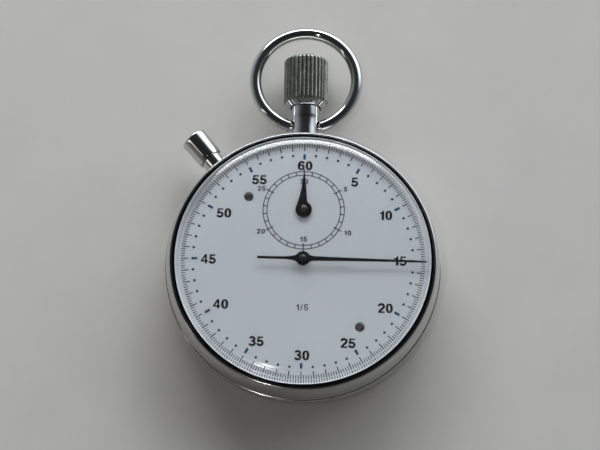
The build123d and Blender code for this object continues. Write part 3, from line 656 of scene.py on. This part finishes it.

# ------------------------------------------------------------------ hands
def bevel_plate(bm, pts, z0, z1, b, at=(0, 0), ang=0.0):
    """Plate with its upper edges drawn in by b, in mm; pts run anticlockwise."""
    n = len(pts)
    inset = []
    for k in range(n):
        p, q, r = pts[k - 1], pts[k], pts[(k + 1) % n]
        d1 = Vector((q[0] - p[0], q[1] - p[1])).normalized()
        d2 = Vector((r[0] - q[0], r[1] - q[1])).normalized()
        nv = Vector((-(d1.y + d2.y), d1.x + d2.x))
        nv = nv.normalized() if nv.length > 1e-6 else Vector((-d1.y, d1.x))
        inset.append((q[0] + nv.x * b, q[1] + nv.y * b))
    c, s_ = math.cos(ang), math.sin(ang)

    def row(src, z):
        return [bm.verts.new(((at[0] + x * c - y * s_) * MM, (at[1] + x * s_ + y * c) * MM, z * MM)) for x, y in src]

    lo, mid, hi = row(pts, z0), row(pts, z1 - b * 0.6), row(inset, z1)
    bm.faces.new(hi)
    bm.faces.new(lo[::-1])
    for u, v in ((lo, mid), (mid, hi)):
        for k in range(n):
            j = (k + 1) % n
            bm.faces.new((u[k], u[j], v[j], v[k]))


def disc(bm, r, z0, z1, b, at=(0, 0), n=72):
    bevel_plate(bm, [(r * math.cos(2 * math.pi * k / n), r * math.sin(2 * math.pi * k / n)) for k in range(n)], z0, z1, b, at)


half = [(-9.0, 0.0), (-9.0, 0.19), (-8.93, 0.25), (-4.0, 0.26), (-3.0, 0.31), (-2.2, 0.41), (-1.6, 0.58), (-1.1, 0.78)]
half_r = [(1.1, 0.84), (1.6, 0.6), (2.2, 0.48), (4.0, 0.425), (10.0, 0.33), (17.0, 0.245), (24.2, 0.165), (24.25, 0.12)]
upper = half[1:] + half_r
sweep_outline = [(u, -v) for u, v in upper] + [(u, v) for u, v in upper[::-1]]
bm = bmesh.new()
A_S = math.radians(90 - 90.8)
bevel_plate(bm, sweep_outline, 12.26, 12.4, 0.06, (0, 0), A_S)
disc(bm, 1.45, 12.24, 12.42, 0.07)
disc(bm, 1.0, 12.0, 12.6, 0.06)
o = finish_mesh("sweep_blade", bm, "black_paint", "sweep", 25.0)
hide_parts("sweep_hand")
o = lathe("sweep_cap", [(0.0, 12.88), (0.25, 12.872), (0.45, 12.84), (0.6, 12.785), (0.68, 12.71), (0.7, 12.65), (0.7, 12.61), (0.0, 12.61)], "cap_steel", "sweep", 64)
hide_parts("sweep_hand_cap")

RCX, RCY = 0.0, 10.2
hub = [(1.63 * math.cos(math.radians(t)), 1.63 * math.sin(math.radians(t))) for t in range(68, 319, 8)]
# along runs to 60 on the register; one flank leaves the hub straight, the other is hollow
mh = [(7.6, -0.13), (7.62, 0.0), (7.6, 0.13), (5.2, 0.36), (3.0, 0.78)] + hub + [(1.42, -0.84), (1.62, -0.66), (3.0, -0.56), (5.0, -0.40)]
bm = bmesh.new()
bevel_plate(bm, mh, 11.76, 11.9, 0.055, (RCX, RCY), math.radians(90))
disc(bm, 1.63, 11.76, 11.92, 0.07, (RCX, RCY))
disc(bm, 1.0, 11.62, 11.98, 0.05, (RCX, RCY))
o = finish_mesh("register_blade", bm, "black_paint", "minute", 25.0)
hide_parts("minute_hand")
o = lathe("register_cap", [(0.0, 12.16), (0.25, 12.155), (0.5, 12.13), (0.68, 12.08), (0.75, 12.03), (0.76, 11.98), (0.0, 11.98)], "cap_steel", "minute", 64, place=lambda p: (p[0] + RCX, p[1] + RCY, p[2]))
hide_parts("minute_hand_cap")

# ------------------------------------------------------------------ dial printing
ZP0, ZP1 = 11.285, 11.312


def polar_rect(bm, r0, r1, w, deg, z0=ZP0, z1=ZP1, at=(0, 0), w1=None):
    """Bar between two radii, deg clockwise from 60."""
    a = math.radians(90 - deg)
    w1 = w if w1 is None else w1
    prism(bm, [(r0, -w / 2), (r1, -w1 / 2), (r1, w1 / 2), (r0, w / 2)], z0, z1, at, a)


bm = bmesh.new()
for k in range(300):
    deg = k * 1.2
    if k % 5:
        polar_rect(bm, 23.2, 24.05, 0.155, deg)
    else:
        polar_rect(bm, 22.45, 24.05, 0.195, deg)
o = finish_mesh("print_ticks", bm, "ink_black", "case")

bm = bmesh.new()
for s in range(60):
    if s % 5 == 0:
        polar_rect(bm, 20.76, 21.86, 0.5, s * 6)
o = finish_mesh("print_bars", bm, "ink_teal", "case")
bm = bmesh.new()
for s in range(60):
    if s % 5:
        a = math.radians(90 - s * 6)
        prism(bm, [(0.26 * math.cos(t * math.pi / 10), 0.26 * math.sin(t * math.pi / 10)) for t in range(20)], ZP0, ZP1, (21.6 * math.cos(a), 21.6 * math.sin(a)))
o = finish_mesh("print_dots", bm, "ink_dot", "case")

bm = bmesh.new()
NUM = {
    "60": (0.15, 19.5),
    "30": (0.1, -19.3),
    "15": (19.1, 0.0),
    "45": (-18.6, -0.1),
    "5": (10.04, 16.19),
    "10": (16.27, 9.36),
    "20": (16.26, -9.63),
    "25": (9.02, -16.75),
    "35": (-8.83, -16.61),
    "40": (-15.93, -9.23),
    "50": (-15.78, 9.42),
    "55": (-8.92, 16.44),
}
for txt, c in NUM.items():
    number(bm, txt, c, 1.9, ZP0, ZP1, wt=1.28)
o = finish_mesh("print_numerals", bm, "ink_black", "case")

# 30 minute register
RC = (0.0, 10.2)
bm = bmesh.new()
for rr, wd in ((8.05, 0.17), (7.28, 0.17)):
    band(bm, ell_pts(0, 0, rr + wd / 2, rr + wd / 2, 144, 2.0), ell_pts(0, 0, rr - wd / 2, rr - wd / 2, 144, 2.0), ZP0, ZP1, RC)
for k in range(30):
    if k % 5 == 0:
        polar_rect(bm, 6.85, 8.62, 0.21, k * 12, ZP0, ZP1 + 0.0006, RC)
    else:
        polar_rect(bm, 7.24, 8.09, 0.19, k * 12, ZP0, ZP1 + 0.0006, RC)
for txt, x, y in (("5", 8.24, 4.49), ("10", 8.75, -4.6), ("15", 0.05, -6.0), ("20", -8.39, -4.49), ("25", -8.44, 4.4), ("30", 0.0, 5.95)):
    number(bm, txt, (RC[0] + x, RC[1] + y), 1.0, ZP0, ZP1, wt=1.15, gap=0.12)
number(bm, "1/5", (0.0, -9.7), 1.25, ZP0, ZP1, wt=0.85, gap=0.14)
o = finish_mesh("print_register", bm, "ink_black", "case")

# ------------------------------------------------------------------ floor, light, camera
bm = bmesh.new()
s = 1.6
vs = [bm.verts.new((x * s, y * s, -0.00003)) for x, y in ((-1, -1), (1, -1), (1, 1), (-1, 1))]
bm.faces.new(vs)
me = bpy.data.meshes.new("floor")
bm.to_mesh(me)
bm.free()
floor = bpy.data.objects.new("floor", me)
COL.objects.link(floor)
m, nt, b, out = new_mat("floor_pale")
v = coords(nt)
n = noise(nt, v, 60.0, 6, 0.6)
nt.links.new(ramp(nt, n, [(0.3, (0.74, 0.715, 0.68)), (0.7, (0.78, 0.755, 0.72))]), b.inputs["Base Color"])
nt.links.new(maprange(nt, noise(nt, v, 700.0), 0.3, 0.7, 0.62, 0.75), b.inputs["Roughness"])
me.materials.append(m)

world = bpy.data.worlds.new("studio")
bpy.context.scene.world = world
world.use_nodes = True
wt = world.node_tree
bg = wt.nodes["Background"]
wtc = node(wt, "ShaderNodeTexCoord")
wsep = node(wt, "ShaderNodeSeparateXYZ")
wt.links.new(wtc.outputs["Generated"], wsep.inputs[0])
up = ramp(wt, wsep.outputs["Z"], [(0.0, (0.34, 0.33, 0.31)), (0.22, (0.30, 0.31, 0.32)), (0.50, (0.16, 0.17, 0.18)), (0.80, (0.045, 0.047, 0.05)), (1.0, (0.02, 0.02, 0.022))])
side = ramp(wt, maprange(wt, wsep.outputs["Y"], -1.0, 1.0, 0.0, 1.0), [(0.0, (0.45, 0.42, 0.38)), (0.45, (0.75, 0.74, 0.72)), (0.75, (1.25, 1.3, 1.36)), (1.0, (1.6, 1.7, 1.8))])
wmul = node(wt, "ShaderNodeMix", data_type="RGBA", blend_type="MULTIPLY")
wmul.inputs["Factor"].default_value = 1.0
wt.links.new(up, wmul.inputs["A"])
wt.links.new(side, wmul.inputs["B"])
# a pale bright patch low on the upper right, like a second window
wdot = node(wt, "ShaderNodeVectorMath", operation="DOT_PRODUCT")
wt.links.new(wtc.outputs["Generated"], wdot.inputs[0])
wdot.inputs[1].default_value = (0.62, 0.72, 0.31)
patch = ramp(wt, maprange(wt, wdot.outputs["Value"], 0.80, 0.97, 0.0, 1.0), [(0.0, (0.0, 0.0, 0.0)), (0.5, (0.75, 0.80, 0.85)), (1.0, (1.9, 2.0, 2.1))])
wadd = node(wt, "ShaderNodeMix", data_type="RGBA", blend_type="ADD")
wadd.inputs["Factor"].default_value = 1.0
wt.links.new(wmul.outputs["Result"], wadd.inputs["A"])
wt.links.new(patch, wadd.inputs["B"])
wt.links.new(wadd.outputs["Result"], bg.inputs[0])
bg.inputs[1].default_value = 1.0


def area(name, loc, target, sx, sy, power, col=(1, 1, 1)):
    l = bpy.data.lights.new(name, "AREA")
    l.shape = "RECTANGLE"
    l.size, l.size_y = sx, sy
    l.energy = power
    l.color = col
    o = bpy.data.objects.new(name, l)
    COL.objects.link(o)
    o.location = loc
    d = Vector(target) - Vector(loc)
    o.rotation_euler = d.to_track_quat("-Z", "Y").to_euler()
    return o


area("window_key", (-0.06, 0.98, 0.50), (0, 0.0, 0), 1.10, 0.32, 8.8, (0.95, 0.975, 1.0))
area("fill_left", (-0.80, -0.25, 0.50), (0, 0, 0), 0.08, 0.5, 0.16, (1.0, 0.95, 0.86))
area("lamp_over", (-0.133, -0.201, 0.757), (0, 0, 0), 0.03, 0.03, 0.26, (1.0, 0.98, 0.95))

cam = bpy.data.cameras.new("camera")
cam.sensor_fit = "HORIZONTAL"
cam.sensor_width = 36.0
cam.lens = 128.86
cam.clip_start = 0.01
cam.clip_end = 10.0
co = bpy.data.objects.new("camera", cam)
COL.objects.link(co)
co.location = (0.003859, -0.117349, 0.418447)
co.rotation_euler = [math.radians(a) for a in (17.0228, 0.3545, 0.9331)]
bpy.context.scene.camera = co
bpy.context.scene.view_settings.view_transform = "Standard"
